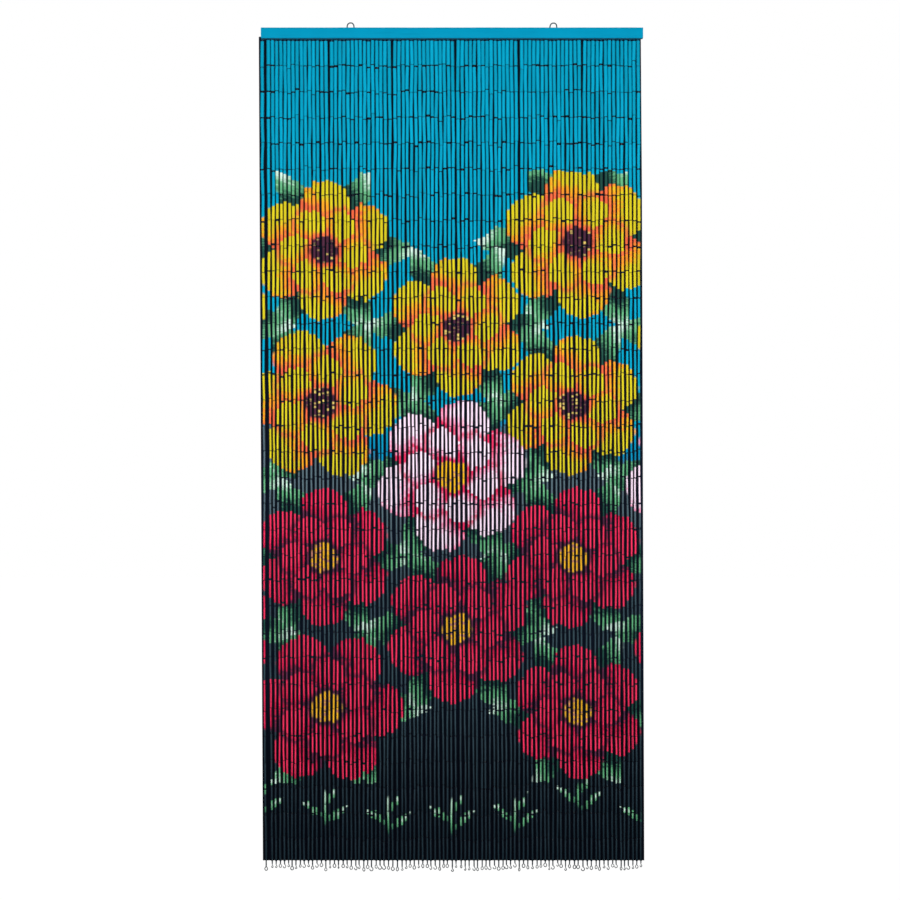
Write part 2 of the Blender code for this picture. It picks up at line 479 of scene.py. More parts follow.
def panelGroup():
    tree, given, result = newGroup("flowerPanel", ["x", "z"], {"colour": "Color"})
    x, z = given["x"], given["z"]
    blossom = blossomGroup()

    wave = calc(tree, "SINE", times(tree, x, 2 * math.pi / panel["groundWaveLength"]))
    turnZ = calc(tree, "MULTIPLY_ADD", wave, panel["groundWave"], panel["groundTurn"])
    strokePlace = point(tree, times(tree, x, 30.0), 0.0, times(tree, z, 9.0))
    strokes = cloud(tree, strokePlace, 1.0, 3.0)
    height = plus(tree, minus(tree, z, turnZ), spread(tree, strokes, -0.045, 0.045))
    sky = blend(tree, ease(tree, height, 0.09, 0.0), dye("sky"), dye("skyDeep"))
    dusk = blend(tree, ease(tree, z, -1.10, -1.40), dye("dusk"), dye("duskMid"))
    dusk = blend(tree, ease(tree, z, -1.48, -1.92), dusk, dye("duskDeep"))
    ground = blend(tree, ease(tree, height, 0.012, -0.02), sky, dusk)

    side = placeBlossoms(tree, blossom, x, z, panel["sideColumns"])
    middle = placeBlossoms(tree, blossom, x, z, panel["middleColumn"])
    colour = blend(tree, side[2], ground, side[3])
    colour = blend(tree, middle[2], colour, middle[3])
    colour = paintSprigs(tree, colour, x, z)
    colour = blend(tree, side[0], colour, side[1])
    colour = blend(tree, middle[0], colour, middle[1])
    plug(tree, result["colour"], colour)
    return tree


def beadPaint():
    material, tree, shader = newMaterial("beadPaint")
    place = objectPlace(tree)
    axes = axesOf(tree, place)
    x, z = axes[0], axes[2]
    slip = attribute(tree, "slip")

    # a brush runs along a bead, so the picture changes little across it
    lineX = attribute(tree, "lineX")
    paintedX = calc(tree, "MULTIPLY_ADD", minus(tree, x, lineX), bead["acrossPaint"], lineX)
    picture = addNode(tree, "Group", {"x": paintedX, "z": plus(tree, z, slip)}, node_tree=panelGroup())
    grain = cloud(tree, stretched(tree, place, 900.0, 900.0, 26.0), 1.0, 3.0, 0.6)
    brushPlace = point(tree, times(tree, x, 160.0), times(tree, slip, 900.0), times(tree, z, 22.0))
    brush = cloud(tree, brushPlace, 1.0, 2.0)
    level = plus(tree, spread(tree, attribute(tree, "tone"), *bead["tone"]), spread(tree, brush, -0.10, 0.10))
    # painted shade darkens the beads a little under the bar, and they are paler from the first blossoms down
    level = plus(tree, level, spread(tree, ease(tree, z, -0.30, -0.03), 0.0, bead["shadeUnderBar"]))
    level = plus(tree, level, spread(tree, ease(tree, z, -0.45, -0.95), 0.0, bead["toneFoot"]))
    coloured = blend(tree, 1.0, picture["colour"], point(tree, level, level, level), "MULTIPLY")

    # the coat reaches round the front, thins at its edge and is chipped at the tips,
    # and on the thin canes lower down it covers less of the side
    reach = plus(tree, attribute(tree, "front"), spread(tree, grain, -0.10, 0.10))
    edge = spread(tree, ease(tree, z, 0.0, -1.35), *bead["paintEdge"])
    coat = ease(tree, minus(tree, reach, edge), 0.10, 0.30)
    worn = plus(tree, times(tree, attribute(tree, "tip"), 900.0), times(tree, grain, 2.2))
    coat = times(tree, coat, ease(tree, worn, 1.05, 1.55))
    under = blend(tree, grain, dye("ground"), dye("groundWarm"))
    film = spread(tree, ease(tree, z, -0.60, -0.10), *bead["sideFilm"])
    film = times(tree, film, ease(tree, reach, -0.75, -0.20))
    under = blend(tree, film, under, coloured)
    rough = plus(tree, spread(tree, coat, 0.62, 0.44), spread(tree, brush, -0.06, 0.06))
    relief = plus(tree, times(tree, grain, 0.5), times(tree, coat, 0.6))
    surface(tree, shader, blend(tree, coat, under, coloured), rough, specular=0.03,
            normal=bumpOf(tree, relief, 0.35, 0.00012))
    return material


def cutCane():
    material, tree, shader = newMaterial("cutCane")
    fibre = cloud(tree, objectPlace(tree), 2600.0, 2.0)
    colour = blend(tree, ease(tree, fibre, 0.35, 0.65), dye("caneDark"), dye("cane"))
    # stain runs a little way into the cut end, and the bore is darkened with painted shade the deeper it goes
    soak = ease(tree, plus(tree, attribute(tree, "tone"), fibre), 0.75, 1.2)
    colour = blend(tree, soak, colour, dye("groundWarm"))
    inside = ease(tree, attribute(tree, "tip"), -0.001, -0.006)
    surface(tree, shader, blend(tree, inside, colour, dye("ground")), 0.85,
            normal=bumpOf(tree, fibre, 0.4, 0.0001))
    return material


# Where every joint of every strand hangs

def strandX(index):
    gaps = math.ceil(index / strand["groupSize"])
    return strand["firstX"] + index * strand["pitch"] + gaps * strand["groupGap"]


def strandsOf(group):
    # the lone first strand belongs to the first group
    everyOne = range(strand["count"])
    return [index for index in everyOne if max(0, math.ceil(index / strand["groupSize"]) - 1) == group]


def widthAt(share, top, bottom):
    return bottom + (top - bottom) * np.exp(-share / strand["fade"])


def strandLine(index, chance, topZ):
    # the same hang as the plain strand: a point at each section's foot
    sections = strand["beads"] // strand["beadsPerSection"]
    sectionDrop = (topZ - strand["endZ"]) / sections
    lean = strand["leanLeft"] + (strand["leanRight"] - strand["leanLeft"]) * index / (strand["count"] - 1)
    endZ = strand["endZ"] + chance.uniform(-1, 1) * strand["endSpread"]
    topX = strandX(index)
    line = [(topX, 0.0, topZ)]
    for section in range(1, sections + 1):
        share = section / sections
        room = (strand["pitch"] - widthAt(share, strand["solidTop"], strand["solidBottom"])
                - 2 * strand["touchGap"]) / 2
        room *= strand["swayTop"] + (strand["swayBottom"] - strand["swayTop"]) * share
        x = topX + lean * share + chance.uniform(-1, 1) * room
        y = chance.uniform(-1, 1) * strand["swayDeep"]
        line.append((x, y, endZ if section == sections else topZ - section * sectionDrop))
    chance.uniform(-1, 1)  # the plain wire end's swing
    return np.array(line)


def gapLean():
    # strands on both sides of a wide gap hang a little into it, but not the lone first one
    lean = np.zeros(strand["count"])
    for edge in range(strand["groupSize"] + 1, strand["count"], strand["groupSize"]):
        away = np.arange(strand["count"]) - edge
        fall = np.exp(-np.where(away < 0, -away - 1, away) / strand["gapLeanReach"])
        lean += np.where(away < 0, 1, -1) * fall * strand["gapLean"]
    return lean


def hangStrands():
    chance = random.Random(strand["seed"])
    dice = np.random.default_rng(bead["seed"])
    topZ = barLow[2] - strand["topDrop"]
    count, beads = strand["count"], strand["beads"]
    lines = [strandLine(index, chance, topZ) for index in range(count)]

    row = np.linspace(0, 1, beads + 1)
    stray = np.zeros((count, beads + 1))
    for joint in range(beads):
        fresh = dice.normal(0, bead["jointStray"], count)
        outlier = dice.random(count) < bead["jointOutliers"]
        fresh[outlier] *= bead["jointOutlierStray"]
        before = stray[:, joint - 1] if joint else np.zeros(count)
        stray[:, joint] = bead["jointMemory"] * before + fresh * (1.0 if joint else bead["jointFirst"])
    z = np.stack([topZ + row * (line[-1, 2] - topZ) for line in lines]) + stray
    z[:, 0] = np.minimum(z[:, 0], topZ)
    z[:, -1] = [line[-1, 2] for line in lines]
    x = np.stack([np.interp(-z[i], -line[:, 2], line[:, 0]) for i, line in enumerate(lines)])
    x += gapLean()[:, None] * np.clip(row / strand["gapLeanWhole"], 0, 1)
    y = np.stack([np.interp(-z[i], -line[:, 2], line[:, 1]) for i, line in enumerate(lines)])
    strayAcross = bead["strayTop"] + (bead["strayFoot"] - bead["strayTop"]) * np.sqrt(row[1:])
    x[:, 1:] += dice.normal(0, 1, (count, beads)) * strayAcross
    y[:, 1:] += dice.normal(0, bead["strayDeep"], (count, beads))

    share = (np.arange(beads) + 0.5) / beads
    uneven = np.clip(dice.normal(1, bead["widthSpread"], (count, beads)), *bead["widthLimits"])
    width = widthAt(share, bead["widthTop"], bead["widthBottom"])[None, :] * uneven
    jointWidth = np.maximum(np.pad(width, ((0, 0), (1, 0)), "edge"), np.pad(width, ((0, 0), (0, 1)), "edge"))
    # neighbours that would meet move apart
    for push in range(bead["pushes"]):
        need = (jointWidth[1:] + jointWidth[:-1]) / 2 + bead["clearance"]
        room = np.sqrt(np.maximum(need ** 2 - (y[1:] - y[:-1]) ** 2, 0))
        short = np.maximum(room - (x[1:] - x[:-1]), 0) / 2
        x[:-1] -= short
        x[1:] += short
    gap = bead["gapLeast"] + dice.exponential(bead["gapMean"], (count, beads + 1))
    gap = np.minimum(gap, bead["gapMost"])
    gap[:, 0] = 2 * dice.uniform(*bead["firstDrop"], count)
    gap[:, -1] = 2 * (bead["footZ"] + bead["footSpread"] * dice.uniform(-1, 1, count) - z[:, -1])
    return np.stack([x, y, z], axis=-1), width, gap


# One cane bead, modelled once

def modelBead():
    length, width = bead["modelLength"], bead["modelWidth"]
    deselectAll()
    bpy.ops.mesh.primitive_cylinder_add(vertices=bead["sides"], radius=width / 2, depth=length,
                                        end_fill_type="NGON", location=(0, 0, 0))
    cane = bpy.context.object
    mesh = cane.data
    bpy.ops.object.mode_set(mode="EDIT")
    bpy.ops.mesh.select_all(action="SELECT")
    bpy.ops.mesh.bisect(plane_co=(0, 0, 0), plane_no=(0, 0, 1))
    bpy.ops.mesh.select_all(action="DESELECT")
    bpy.ops.object.mode_set(mode="OBJECT")
    for face in mesh.polygons:
        face.select = abs(face.normal.z) > 0.9
    bpy.ops.object.mode_set(mode="EDIT")
    bpy.ops.mesh.select_mode(type="FACE")
    bpy.ops.mesh.inset(thickness=width / 2 * (1 - bead["hole"]), depth=0)
    bpy.ops.mesh.delete(type="FACE")
    bpy.ops.mesh.select_mode(type="EDGE")
    bpy.ops.mesh.select_all(action="DESELECT")
    bpy.ops.mesh.select_non_manifold()
    bpy.ops.mesh.bridge_edge_loops()
    bpy.ops.mesh.select_all(action="DESELECT")
    bpy.ops.object.mode_set(mode="OBJECT")
    for edge in mesh.edges:
        ends = [mesh.vertices[i].co for i in edge.vertices]
        outer = all(math.hypot(end.x, end.y) > width * bead["skin"] for end in ends)
        edge.select = outer and all(abs(end.z) > length / 2 - bead["rim"] for end in ends)
    bpy.ops.object.mode_set(mode="EDIT")
    bpy.ops.mesh.bevel(offset=bead["rim"], segments=1)
    bpy.ops.mesh.select_all(action="SELECT")
    bpy.ops.mesh.normals_make_consistent(inside=False)
    bpy.ops.object.mode_set(mode="OBJECT")
    settle(cane)
    points = np.array([v.co for v in mesh.vertices])
    faces = [list(face.vertices) for face in mesh.polygons]
    # cut faces are the flat rings at the ends and the bore
    bore = np.hypot(points[:, 0], points[:, 1]) < width * bead["skin"]
    cut = [any(bore[i] for i in face) for face in faces]
    bpy.data.objects.remove(cane, do_unlink=True)
    print("bead:", len(points), "points,", len(faces), "faces")
    return points, faces, np.array(cut), bore


def joinCopies(name, copies, faces, faceSlots=None, tags=None):
    # each copy is its points, and tags holds one value for each point of each copy
    copies = np.array(copies)
    total, each = copies.shape[:2]
    sizes = np.array([len(face) for face in faces])
    flat = np.concatenate([np.array(face) for face in faces])
    corners = (flat[None, :] + (np.arange(total) * each)[:, None]).reshape(-1)
    starts = np.concatenate([[0], np.cumsum(np.tile(sizes, total))[:-1]])
    mesh = bpy.data.meshes.new(name)
    mesh.vertices.add(total * each)
    mesh.vertices.foreach_set("co", copies.reshape(-1).astype(np.float32))
    mesh.loops.add(len(corners))
    mesh.loops.foreach_set("vertex_index", corners.astype(np.int32))
    mesh.polygons.add(len(starts))
    mesh.polygons.foreach_set("loop_start", starts.astype(np.int32))
    if faceSlots is not None:
        mesh.polygons.foreach_set("material_index", np.tile(faceSlots, total).astype(np.int32))
    mesh.update(calc_edges=True)
    mesh.validate()
    for tag, values in (tags or {}).items():
        layer = mesh.attributes.new(tag, "FLOAT", "POINT")
        layer.data.foreach_set("value", np.array(values).reshape(-1).astype(np.float32))
    piece = bpy.data.objects.new(name, mesh)
    bpy.context.scene.collection.objects.link(piece)
    return piece


def spun(across, deep, turn):
    return across * math.cos(turn) - deep * math.sin(turn), across * math.sin(turn) + deep * math.cos(turn)


def lengthened(points, long):
    # the ends keep their size, so only the middle stretch takes up the length
    ends = np.sign(np.round(points[:, 2], 4))
    return points[:, 2] + ends * (long - bead["modelLength"]) / 2


def layAlong(middle, down, across, deep, lift):
    # points about a strand's line: near +X, away from the viewer, and up the line
    side = np.array([1.0, 0.0, 0.0]) - down * down[0]
    side /= np.linalg.norm(side)
    return middle + np.outer(across, side) + np.outer(deep, np.cross(-down, side)) - np.outer(lift, down)


def makeBeads(hang):
    joints, width, gap = hang
    points, faces, cut, bore = modelBead()
    coats = [beadPaint(), cutCane()]
    dice = np.random.default_rng(bead["seed"] + 1)
    for group in range(groupCount):
        copies = []
        tags = {"front": [], "tip": [], "tone": [], "slip": [], "lineX": []}
        for index in strandsOf(group):
            slide = dice.normal(0, bead["paintSlip"])
            for number in range(strand["beads"]):
                top, foot = joints[index, number:number + 2]
                down = (foot - top) / np.linalg.norm(foot - top)
                top = top + down * gap[index, number] / 2
                foot = foot - down * gap[index, number + 1] / 2
                centre = (top + foot) / 2
                long = np.linalg.norm(foot - top)
                spin = dice.uniform(0, 2 * math.pi)
                bow = dice.normal(0, bead["bow"], 2)
                paintTurn = math.radians(dice.normal(0, bead["paintTurn"]))
                scale = width[index, number] / bead["modelWidth"]
                across, deep = spun(points[:, 0] * scale, points[:, 1] * scale, spin)
                outward = np.maximum(np.hypot(across, deep), 1e-6)
                lift = lengthened(points, long)
                middle = 1 - (2 * lift / long) ** 2
                copies.append(layAlong(centre, down, across + bow[0] * middle, deep + bow[1] * middle, lift))
                tags["front"].append((across * math.sin(paintTurn) - deep * math.cos(paintTurn)) / outward)
                fromEnd = long / 2 - np.abs(lift)
                tags["tip"].append(np.where(bore, -fromEnd, fromEnd))
                tags["tone"].append(np.full(len(points), dice.random()))
                tags["slip"].append(np.full(len(points), slide + dice.normal(0, bead["paintSlipBead"])))
                tags["lineX"].append(np.full(len(points), centre[0]))
        name = f"beads_{group + 1}"
        piece = joinCopies(name, copies, faces, cut.astype(int), tags)
        dress(piece, name, bead["smooth"], coats, "bead_paint", f"strands_{group + 1}")
        print(name, "beads:", len(copies))


# The bar, a planed batten with eased edges that aren't quite straight

bar = {
    "edge": 0.0006,
    "edgeSteps": 4,
    "cuts": 48,
    "wave": 0.00022,
    "waves": (21, 57),  # radians to a metre
    "paint": [(0, 137, 174), (0, 147, 186)],
    "streak": (0, 123, 160),  # along the brush marks
    # painted shade along the bar's top edge
    "topShade": (0, 110, 144),
    "topShadeFrom": 0.0022,  # below the top
    "topShadeWhole": 0.0006,
    "smooth": 35,  # degrees
}


def barPaint():
    material, tree, shader = newMaterial("barPaint")
    place = objectPlace(tree)
    stroke = cloud(tree, stretched(tree, place, 16.0, 260.0, 260.0), 1.0, 4.0, 0.6)
    patch = cloud(tree, place, 22.0, 3.0)
    colour = blend(tree, patch, *tints(bar["paint"]))
    streak = times(tree, ease(tree, stroke, 0.48, 0.75), 0.40)
    colour = blend(tree, streak, colour, tint(*bar["streak"]))
    # painted shade along the top edge
    top = barHigh[2]
    topShade = ease(tree, axesOf(tree, place)[2], top - bar["topShadeFrom"], top - bar["topShadeWhole"])
    colour = blend(tree, times(tree, topShade, 0.6), colour, tint(*bar["topShade"]))
    surface(tree, shader, colour, spread(tree, stroke, 0.36, 0.54), specular=0.012,
            normal=bumpOf(tree, stroke, 0.3, 0.00025))
    return material


def makeBar():
    middle = [(low + high) / 2 for low, high in zip(barLow, barHigh)]
    size = [high - low for low, high in zip(barLow, barHigh)]
    deselectAll()
    bpy.ops.mesh.primitive_cube_add(size=1, location=middle, scale=size)
    piece = bpy.context.object
    settle(piece)
    bpy.ops.object.mode_set(mode="EDIT")
    bpy.ops.mesh.select_all(action="SELECT")
    bpy.ops.mesh.bevel(offset=bar["edge"], segments=bar["edgeSteps"])
    for cut in range(1, bar["cuts"]):
        x = barLow[0] + bar["edge"] + (size[0] - 2 * bar["edge"]) * cut / bar["cuts"]
        bpy.ops.mesh.select_all(action="SELECT")
        bpy.ops.mesh.bisect(plane_co=(x, 0, 0), plane_no=(1, 0, 0))
    bpy.ops.object.mode_set(mode="OBJECT")
    # the plane left shallow hollows along the faces, none of them proud of the stock
    for vertex in piece.data.vertices:
        x = vertex.co.x
        for axis, phase in ((1, 0.0), (2, 1.7)):
            side = 1 if vertex.co[axis] > middle[axis] else -1
            slow = math.sin(bar["waves"][0] * x + phase + side)
            quick = math.sin(bar["waves"][1] * x - phase + 2 * side)
            vertex.co[axis] -= side * bar["wave"] * (0.5 + 0.25 * slow + 0.25 * quick)
    dress(piece, "bar_wood", bar["smooth"], barPaint(), "bar_paint", "bar")
    print("bar made")


# Wires are bent as curves and then made meshes

wire = {
    "merge": 0.000002,  # points nearer than this are one
    "smooth": 50,  # degrees
}


def bareWire(name, finish):
    # tarnish in two tones, patchy and faintly pitted
    material, tree, shader = newMaterial(name)
    tarnish = cloud(tree, objectPlace(tree), finish["patches"], 3.0)
    colour = blend(tree, tarnish, *tints(finish["tarnish"]))
    surface(tree, shader, colour, spread(tree, tarnish, *finish["roughness"]),
            metallic=finish["metallic"], normal=bumpOf(tree, tarnish, 0.2, 0.00005))
    return material


def bendWire(route, thickness, steps=2, fineness=1, swell=()):
    deselectAll()
    bpy.ops.curve.primitive_bezier_curve_add(location=(0, 0, 0))
    piece = bpy.context.object
    curve = piece.data
    line = curve.splines[0]
    line.bezier_points.add(len(route) - len(line.bezier_points))
    for place, bend in zip(route, line.bezier_points):
        bend.co = place
        bend.handle_left_type = bend.handle_right_type = "AUTO"
    for size, bend in zip(swell, line.bezier_points):
        bend.radius = size
    curve.dimensions = "3D"
    curve.resolution_u = steps
    curve.bevel_depth = thickness / 2
    curve.bevel_resolution = fineness
    curve.use_fill_caps = True
    bpy.ops.object.convert(target="MESH")
    piece = bpy.context.object
    bpy.ops.object.mode_set(mode="EDIT")
    bpy.ops.mesh.select_all(action="SELECT")
    bpy.ops.mesh.remove_doubles(threshold=wire["merge"])
    bpy.ops.mesh.normals_make_consistent(inside=False)
    bpy.ops.object.mode_set(mode="OBJECT")
    return piece


def joinParts(parts):
    deselectAll()
    for part in parts:
        part.select_set(True)
    bpy.context.view_layer.objects.active = parts[0]
    bpy.ops.object.join()
    return parts[0]


def shapeOf(piece):
    points = np.array([vertex.co for vertex in piece.data.vertices])
    faces = [list(face.vertices) for face in piece.data.polygons]
    bpy.data.objects.remove(piece, do_unlink=True)
    return points, faces


loops = {
    "thickness": 0.0028,  # with its splashes of paint
    # dark steel with a teal tint that is painted reflection of the turquoise bar
    "steel": [(4, 38, 48), (16, 62, 74)],
    "splash": (0, 78, 98),
    "splashWhole": 0.0005,  # above the bar
    "splashTo": 0.0045,
    "legDepth": 0.008,
    # bends of each arch: shares of its half width and of its height
    "loop_left": [(-1, 0), (-1, 0.32), (-0.88, 0.64), (-0.50, 0.92), (0.02, 1), (0.52, 0.93),
                  (0.86, 0.66), (0.99, 0.32), (1, 0)],
    "loop_right": [(-1, 0), (-0.98, 0.30), (-0.82, 0.62), (-0.44, 0.90), (0.06, 0.97), (0.54, 0.90),
                   (0.88, 0.64), (1, 0.30), (1, 0)],
}


def loopWire():
    # the bar's paint covers the foot of each leg and is splashed over the rest
    material, tree, shader = newMaterial("loopWire")
    place = objectPlace(tree)
    dull = cloud(tree, place, 700.0, 3.0)
    # steel tinted with painted reflection of the bar
    steel = blend(tree, dull, *tints(loops["steel"]))
    height = plus(tree, spread(tree, dull, -0.004, 0.004), axesOf(tree, place)[2])
    splash = ease(tree, height, barHigh[2] + loops["splashTo"], barHigh[2] + loops["splashWhole"])
    film = calc(tree, "MAXIMUM", splash, times(tree, ease(tree, dull, 0.45, 0.62), 0.55))
    surface(tree, shader, blend(tree, film, steel, tint(*loops["splash"])), spread(tree, film, 0.42, 0.55),
            specular=0.15, metallic=0.1)
    return material


def makeLoops():
    material = loopWire()
    for name in ("loop_left", "loop_right"):
        low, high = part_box(name)
        middle = (low[0] + high[0]) / 2
        half = (high[0] - low[0] - loops["thickness"]) / 2
        rise = high[2] - loops["thickness"] / 2 - barHigh[2]
        route = [(middle + half * across, 0, barHigh[2] + rise * up) for across, up in loops[name]]
        foot = barHigh[2] - loops["legDepth"]
        route = [(route[0][0], 0, foot)] + route + [(route[-1][0], 0, foot)]
        piece = bendWire(route, loops["thickness"], steps=4, fineness=3)
        dress(piece, name + "_wire", wire["smooth"], material, "loop_wire", name)
    print("loops bent")


staple = {
    "thickness": 0.0012,
    "halfWidth": 0.0019,
    "bite": 0.0030,  # into the bar
    "strayAcross": 0.0004,
    "turn": 14,  # degrees
    # the bar's paint in two tones, darkened with painted shade under the bar
    "paint": [(0, 66, 92), (0, 120, 156)],
    # bends below the bar: shares of its half width and of its drop
    "bends": [(-1, 0), (-1, 0.55), (-0.62, 0.9), (0, 1), (0.62, 0.9), (1, 0.55), (1, 0)],
    "seed": 21,
}


def staplePaintInShade():
    # the bar's paint has run over the staples, darkened with painted shade from the bar above
    material, tree, shader = newMaterial("staplePaintInShade")
    film = cloud(tree, objectPlace(tree), 420.0, 2.0)
    colour = blend(tree, ease(tree, film, 0.35, 0.62), *tints(staple["paint"]))
    surface(tree, shader, colour, spread(tree, film, 0.45, 0.65), specular=0.1)
    return material


def makeStaples(hang):
    heads = hang[0][:, 0]
    dice = np.random.default_rng(staple["seed"])
    half, thick = staple["halfWidth"], staple["thickness"]
    drop = strand["topDrop"] + thick / 2
    route = [(half * across, 0, -drop * down) for across, down in staple["bends"]]
    route = [(-half, 0, staple["bite"])] + route + [(half, 0, staple["bite"])]
    points, faces = shapeOf(bendWire(route, thick))
    copies = []
    for index in range(strand["count"]):
        turn = math.radians(dice.normal(0, staple["turn"]))
        slide = dice.normal(0, staple["strayAcross"])
        copies.append(np.stack([
            heads[index, 0] + slide * np.clip(points[:, 2] / drop + 1, 0, 1) + points[:, 0] * math.cos(turn),
            heads[index, 1] + points[:, 0] * math.sin(turn) + points[:, 1],
            barLow[2] + points[:, 2]], axis=1))
    piece = joinCopies("staples", copies, faces)
    dress(piece, "staples", wire["smooth"], staplePaintInShade(), "loop_wire")
    print("staples:", len(copies))


link = {
    "thickness": 0.0008,
    "eyeHalfWidth": 0.00082,
    "eyeHalfHeight": 0.00135,
    "spin": 90,  # degrees that the upper eye is turned from face on
    "spinSpread": 20,
    "eyeSides": 6,
    "sides": 4,
    "smooth": 60,
    "seed": 12,
    "finish": {"tarnish": [(38, 52, 60), (74, 90, 98)], "patches": 900.0, "metallic": 0.5,
               "roughness": (0.28, 0.52)},
}


def modelLink():
    # the wire inside one bead: an eye at each end, turned a quarter from each other
    thick = link["thickness"]
    eyeMiddle = bead["modelLength"] / 2 - (link["eyeHalfHeight"] - thick / 2)
    stretch = link["eyeHalfHeight"] / link["eyeHalfWidth"]
    parts = []
    for up, turn in ((1, 0), (-1, math.pi / 2)):
        deselectAll()
        bpy.ops.mesh.primitive_torus_add(location=(0, 0, 0), rotation=(math.pi / 2, 0, turn),
                                         major_segments=link["eyeSides"], minor_segments=link["sides"],
                                         major_radius=link["eyeHalfWidth"], minor_radius=thick / 2)
        eye = bpy.context.object
        settle(eye)
        for vertex in eye.data.vertices:
            vertex.co.z = up * eyeMiddle + vertex.co.z * stretch
        parts.append(eye)
    shankHalf = eyeMiddle - link["eyeHalfHeight"]
    deselectAll()
    bpy.ops.mesh.primitive_cylinder_add(vertices=link["sides"], radius=thick / 2, depth=2 * shankHalf,
                                        location=(0, 0, 0))
    points, faces = shapeOf(joinParts([bpy.context.object] + parts))
    print("link:", len(points), "points,", len(faces), "faces")
    return points, faces


def makeLinks(hang):
    joints = hang[0]
    points, faces = modelLink()
    material = bareWire("linkWire", link["finish"])
    dice = np.random.default_rng(link["seed"])
    spins = np.radians(link["spin"] + dice.normal(0, link["spinSpread"], strand["count"]))
    for group in range(groupCount):
        copies = []
        for index in strandsOf(group):
            across, deep = spun(points[:, 0], points[:, 1], spins[index])
            for top, foot in zip(joints[index, :-1], joints[index, 1:]):
                reach = np.linalg.norm(foot - top)
                lift = lengthened(points, reach)
                copies.append(layAlong((top + foot) / 2, (foot - top) / reach, across, deep, lift))
        name = f"links_{group + 1}"
        piece = joinCopies(name, copies, faces)
        dress(piece, name, link["smooth"], material, "loop_wire", f"strands_{group + 1}")
        print(name, "wires:", len(copies))


wireEnds = {
    "thickness": 0.0019,  # stouter than the links' wire
    "stem": 1.65,  # times as thick where it is wrapped, down to just below the cane
    "plugIn": 0.018,  # up into the last bead
    "sizeSpread": 0.12,
    "turn": 55,  # degrees
    "seed": 33,
    "finish": {"tarnish": [(14, 24, 30), (42, 56, 62)], "patches": 600.0, "metallic": 0.15,
               "roughness": (0.40, 0.65)},
    # curls as bends below the last bead, in millimetres across and down
    "curls": [
        [(0, 0), (0, 1.5), (-1.6, 3.6), (-3.0, 6.2), (-2.6, 9.0), (0, 10.6), (2.6, 9.0), (3.0, 6.4),
         (1.7, 3.8), (0.6, 2.2)],
        [(0, 0), (0.3, 1.5), (2.4, 3.2), (3.5, 6.0), (2.2, 8.8), (-0.6, 9.8), (-3.1, 8.2), (-3.7, 5.6)],
        [(0, 0), (-0.5, 1.2), (-2.6, 3.3), (-3.7, 5.8), (-2.6, 8.4), (-0.2, 10.0), (2.4, 8.6), (3.6, 5.9),
         (2.4, 3.2), (1.1, 1.9)],
        [(0, 0), (0, 3.0), (0.8, 5.4), (2.4, 7.4), (1.8, 9.6), (-0.4, 10.2), (-1.9, 8.8), (-1.5, 6.7)],
    ],
}


def makeWireEnds(hang):
    feet = hang[0][:, -1]
    dice = np.random.default_rng(wireEnds["seed"])
    kinds = dice.permutation(np.arange(strand["count"]) % len(wireEnds["curls"]))
    turns = np.radians(dice.uniform(-wireEnds["turn"], wireEnds["turn"], strand["count"]))
    sizes = 1 + dice.uniform(-1, 1, strand["count"]) * wireEnds["sizeSpread"]
    stem = (wireEnds["stem"], wireEnds["stem"])
    parts = []
    for kind, curl in enumerate(wireEnds["curls"]):
        route = [(0, 0, wireEnds["plugIn"])] + [(across / 1000, 0, -down / 1000) for across, down in curl]
        points, faces = shapeOf(bendWire(route, wireEnds["thickness"], swell=stem))
        copies = []
        for index in np.flatnonzero(kinds == kind):
            size = np.where(points[:, 2] < 0, sizes[index], 1.0)
            across, deep = spun(points[:, 0] * size, points[:, 1], turns[index])
            copies.append(feet[index] + np.stack([across, deep, points[:, 2] * size], axis=1))
        parts.append(joinCopies("curls", copies, faces))
    material = bareWire("endWire", wireEnds["finish"])
    dress(joinParts(parts), "wire_ends", wire["smooth"], material, "loop_wire")
    print("wire ends:", strand["count"])


hang = hangStrands()
print("strands hung:", len(hang[0]))
makeBar()
makeLoops()
makeStaples(hang)
makeBeads(hang)
makeLinks(hang)
makeWireEnds(hang)


# Camera, lights and stage

view = {
    "pixel": 0.002356,  # metres for each of the frame's 900 pixels, at the beads
    "pixels": 900,
    "lens": 100.0,
    "sensor": 36.0,
    "across": -0.0046,
    "drop": 0.9946,  # from the bar's top to the frame's middle
    "fronts": -0.004,  # where the canes' fronts are, for which the pixel holds
}


def makeCamera():
    frameWidth = view["pixel"] * view["pixels"]
    distance = frameWidth * view["lens"] / view["sensor"]
    data = bpy.data.cameras.new("camera")
    data.lens = view["lens"]
    data.sensor_width = view["sensor"]
    camera = bpy.data.objects.new("camera", data)
    camera.location = (view["across"], view["fronts"] - distance, barHigh[2] - view["drop"])
    camera.rotation_euler = (math.radians(90), 0, 0)
    bpy.context.scene.collection.objects.link(camera)
    bpy.context.scene.camera = camera


stage = {
    "floorZ": -2.075,
    "floorSize": 30.0,
    "floorColour": (0.02, 0.02, 0.02, 1),
    "floorGlow": 1.0,  # as white as the sky and no whiter
    # a dark backing card that also puts painted shade in the gaps between the strands
    "card": [(-0.4561, -0.0300), (0.4460, -0.0300), (0.4487, -0.4000), (0.4541, -1.9747),
             (-0.4464, -1.9747)],
    "cardY": 0.0085,
    "cardTop": (0.0055, 0.0095, 0.0200, 1),
    "cardFoot": (0.0026, 0.0038, 0.0080, 1),
    "cardFade": (-1.42, -1.80),  # heights between which its top colour gives way to its foot's
    "skyLight": 0.27,
}


def clearBehind(tree, shader):
    # seen only from the side that it faces
    side = addNode(tree, "NewGeometry", {})["Backfacing"]
    clear = addNode(tree, "BsdfTransparent", {})[0]
    choice = addNode(tree, "MixShader", {0: side, 1: shader.outputs[0], 2: clear})[0]
    plug(tree, tree.nodes["Material Output"].inputs["Surface"], choice)


def keepUnlit(piece):
    # it throws no light on the curtain and isn't mirrored in it
    piece.visible_diffuse = False
    piece.visible_glossy = False


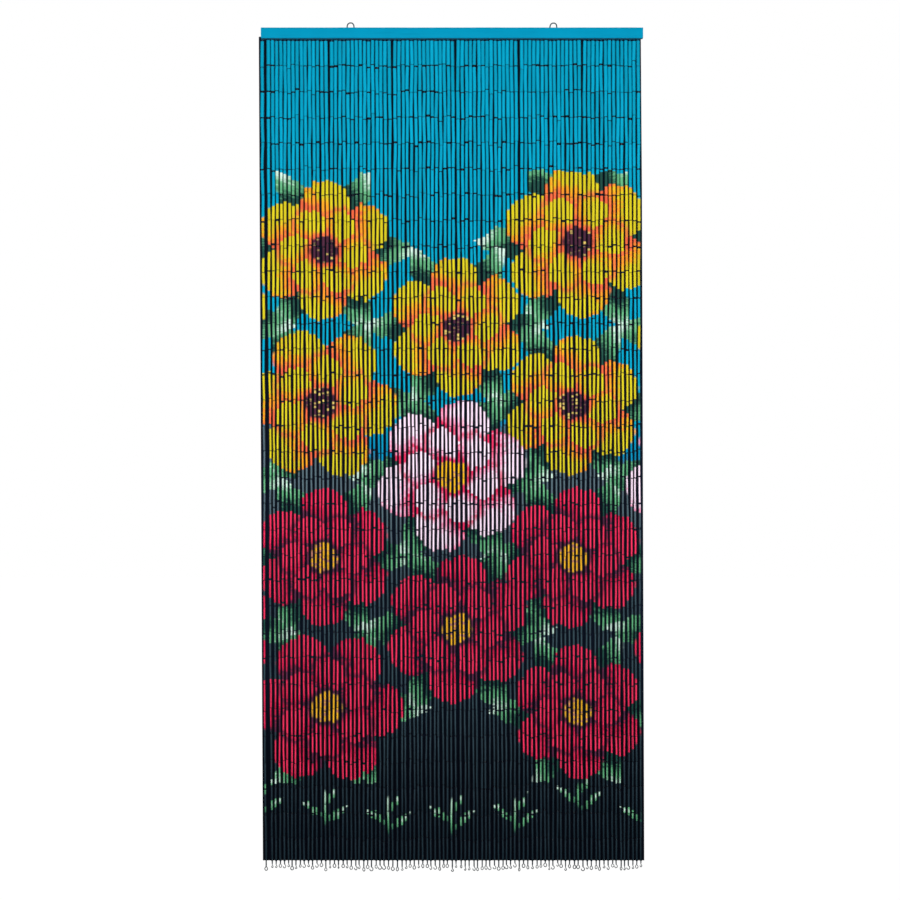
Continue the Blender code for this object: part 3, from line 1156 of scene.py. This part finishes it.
def makeFloor():
    deselectAll()
    bpy.ops.mesh.primitive_plane_add(size=stage["floorSize"], location=(0, 0, stage["floorZ"]))
    floor = bpy.context.object
    floor.name = "floor"
    material, tree, shader = newMaterial("paleFloor")
    surface(tree, shader, stage["floorColour"], 0.9, specular=0.0)
    shader.inputs["Emission Color"].default_value = (1, 1, 1, 1)
    shader.inputs["Emission Strength"].default_value = stage["floorGlow"]
    clearBehind(tree, shader)
    floor.data.materials.append(material)
    keepUnlit(floor)


def makeCard():
    # dark studio card cut to the strands' outline close behind them, seen only from the front: a dark backing
    # that is also painted shade in the gaps between strands
    mesh = bpy.data.meshes.new("backingAndGapShade")
    corners = [(x, stage["cardY"], z) for x, z in stage["card"]]
    mesh.from_pydata(corners, [], [range(len(corners) - 1, -1, -1)])
    card = bpy.data.objects.new("backingAndGapShade", mesh)
    bpy.context.scene.collection.objects.link(card)
    material, tree, shader = newMaterial("backingAndGapShade")
    z = axesOf(tree, objectPlace(tree))[2]
    colour = blend(tree, ease(tree, z, *stage["cardFade"]), stage["cardTop"], stage["cardFoot"])
    surface(tree, shader, colour, 1.0, specular=0.0)
    clearBehind(tree, shader)
    mesh.materials.append(material)
    keepUnlit(card)
    card.visible_transmission = False
    card.visible_shadow = False


lights = {
    # width, height, watts, place, what it points at
    "left": (1.6, 1.8, 56, (-2.3, -3.6, -0.55), (0, 0, -1.05)),
    "right": (1.6, 1.8, 56, (2.3, -3.6, -0.55), (0, 0, -1.05)),
    "middle": (1.6, 1.4, 124, (0.0, -5.2, -0.30), (0, 0, -1.00)),
    "behind": (2.4, 1.6, 60, (0.6, 3.6, 1.7), (0, 0, -1.0)),
}


def makeLights():
    for name, (width, height, watts, place, target) in lights.items():
        data = bpy.data.lights.new(name, "AREA")
        data.shape = "RECTANGLE"
        data.size = width
        data.size_y = height
        data.energy = watts
        lamp = bpy.data.objects.new(name, data)
        lamp.location = place
        way = np.array(target) - np.array(place)
        tilt = math.acos(-way[2] / np.linalg.norm(way))
        lamp.rotation_euler = (tilt, 0, math.atan2(way[1], way[0]) - math.pi / 2)
        lamp.visible_camera = False
        bpy.context.scene.collection.objects.link(lamp)


def makeWorld():
    # the sky is white to the camera and weaker as a lamp
    world = bpy.data.worlds.new("studio")
    bpy.context.scene.world = world
    world.use_nodes = True
    tree = world.node_tree
    background = tree.nodes["Background"]
    background.inputs["Color"].default_value = (1, 1, 1, 1)
    seen = addNode(tree, "LightPath", {})["Is Camera Ray"]
    plug(tree, background.inputs["Strength"], spread(tree, seen, stage["skyLight"], 1.0))
    bpy.context.scene.view_settings.view_transform = "Standard"


makeCamera()
makeFloor()
makeCard()
makeLights()
makeWorld()
